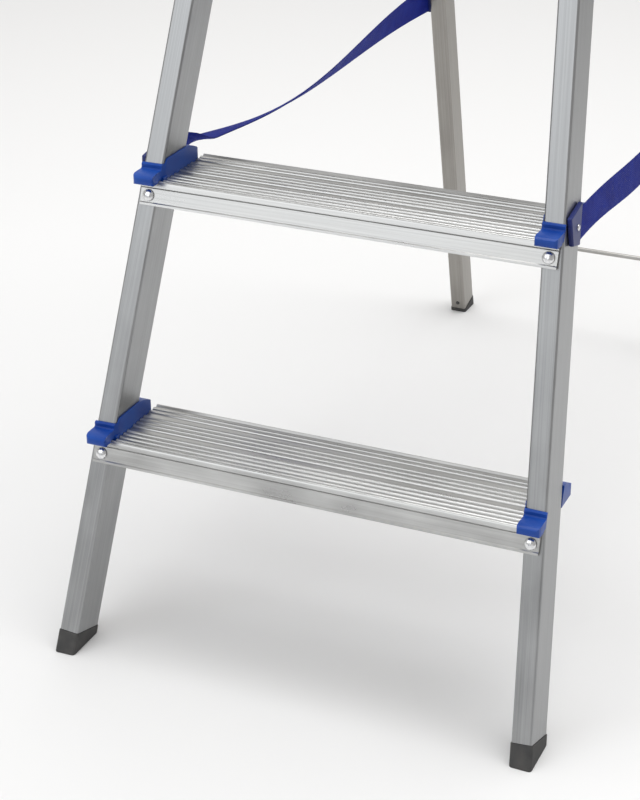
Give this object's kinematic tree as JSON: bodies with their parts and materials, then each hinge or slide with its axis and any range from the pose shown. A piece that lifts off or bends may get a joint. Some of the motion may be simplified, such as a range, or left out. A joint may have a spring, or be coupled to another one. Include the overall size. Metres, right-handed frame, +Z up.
{
  "type": "step ladder",
  "caption": "Free-standing folding aluminium step ladder: ribbed treads with plastic end collars, lifting platform, handrail hoop and two webbing straps.",
  "frame": {"origin": "centre of the rectangle that the ladder covers on the floor, at floor level", "axes": "+Z up; +Y towards the rear frame, the way a person climbing the treads faces; +X to that person's right"},
  "size_m": [0.4476, 0.9008, 1.668],
  "materials": {
    "frame_aluminium": "satin mill-finish extrusion",
    "tread_aluminium": "satin ribbed extrusion with bright edges",
    "zinc_rivets": "bright zinc-plated steel",
    "brace_steel": "dull plated steel rod",
    "blue_plastic": "moulded royal-blue plastic, low sheen",
    "webbing": "woven polypropylene webbing, dark royal blue",
    "foot_rubber": "matt dark grey rubber"
  },
  "bodies": {
    "front_frame": {"front_stile_left": "frame_aluminium", "front_stile_right": "frame_aluminium", "front_foot_left": "foot_rubber", "front_foot_right": "foot_rubber", "tread_1": "tread_aluminium", "tread_2": "tread_aluminium", "tread_3": "tread_aluminium", "tread_4": "tread_aluminium", "tread_cap_1_left": "blue_plastic", "tread_cap_1_right": "blue_plastic", "tread_cap_2_left": "blue_plastic", "tread_cap_2_right": "blue_plastic", "tread_cap_3_left": "blue_plastic", "tread_cap_3_right": "blue_plastic", "tread_cap_4_left": "blue_plastic", "tread_cap_4_right": "blue_plastic", "tread_rivet_1_left": "zinc_rivets", "tread_rivet_1_right": "zinc_rivets", "tread_rivet_2_left": "zinc_rivets", "tread_rivet_2_right": "zinc_rivets", "tread_rivet_3_left": "zinc_rivets", "tread_rivet_3_right": "zinc_rivets", "tread_rivet_4_left": "zinc_rivets", "tread_rivet_4_right": "zinc_rivets", "handrail_hoop": "frame_aluminium", "handrail_socket_left": "blue_plastic", "handrail_socket_right": "blue_plastic", "hinge_bracket_left": "frame_aluminium", "hinge_bracket_right": "frame_aluminium", "hinge_bar": "frame_aluminium", "hinge_cap_left": "blue_plastic", "hinge_cap_right": "blue_plastic", "platform_pin_left": "zinc_rivets", "platform_pin_right": "zinc_rivets", "strap_plate_front_left": "blue_plastic", "strap_plate_front_right": "blue_plastic", "strap_rivet_front_left": "zinc_rivets", "strap_rivet_front_right": "zinc_rivets", "strap_left": "webbing", "strap_right": "webbing"},
    "rear_frame": {"rear_leg_left": "frame_aluminium", "rear_leg_right": "frame_aluminium", "rear_foot_left": "foot_rubber", "rear_foot_right": "foot_rubber", "rear_leg_cap_left": "blue_plastic", "rear_leg_cap_right": "blue_plastic", "rear_brace_lower": "brace_steel", "rear_brace_upper": "brace_steel", "strap_plate_rear_left": "blue_plastic", "strap_plate_rear_right": "blue_plastic", "strap_rivet_rear_left": "zinc_rivets", "strap_rivet_rear_right": "zinc_rivets"},
    "platform": {"platform_deck": "tread_aluminium", "platform_rail_left": "blue_plastic", "platform_rail_right": "blue_plastic"}
  },
  "joints": [
    {"name": "rear_frame_fold", "type": "hinge", "parent": "front_frame", "child": "rear_frame", "pos_m": [0, 0.1533, 1.045], "axis": [-1, 0, 0], "range_deg": [0, 42], "deforming": ["strap_left", "strap_right"]},
    {"name": "platform_lift", "type": "hinge", "parent": "front_frame", "child": "platform", "pos_m": [0, -0.09337, 1.057], "axis": [1, 0, 0], "range_deg": [0, 72]}
  ]
}
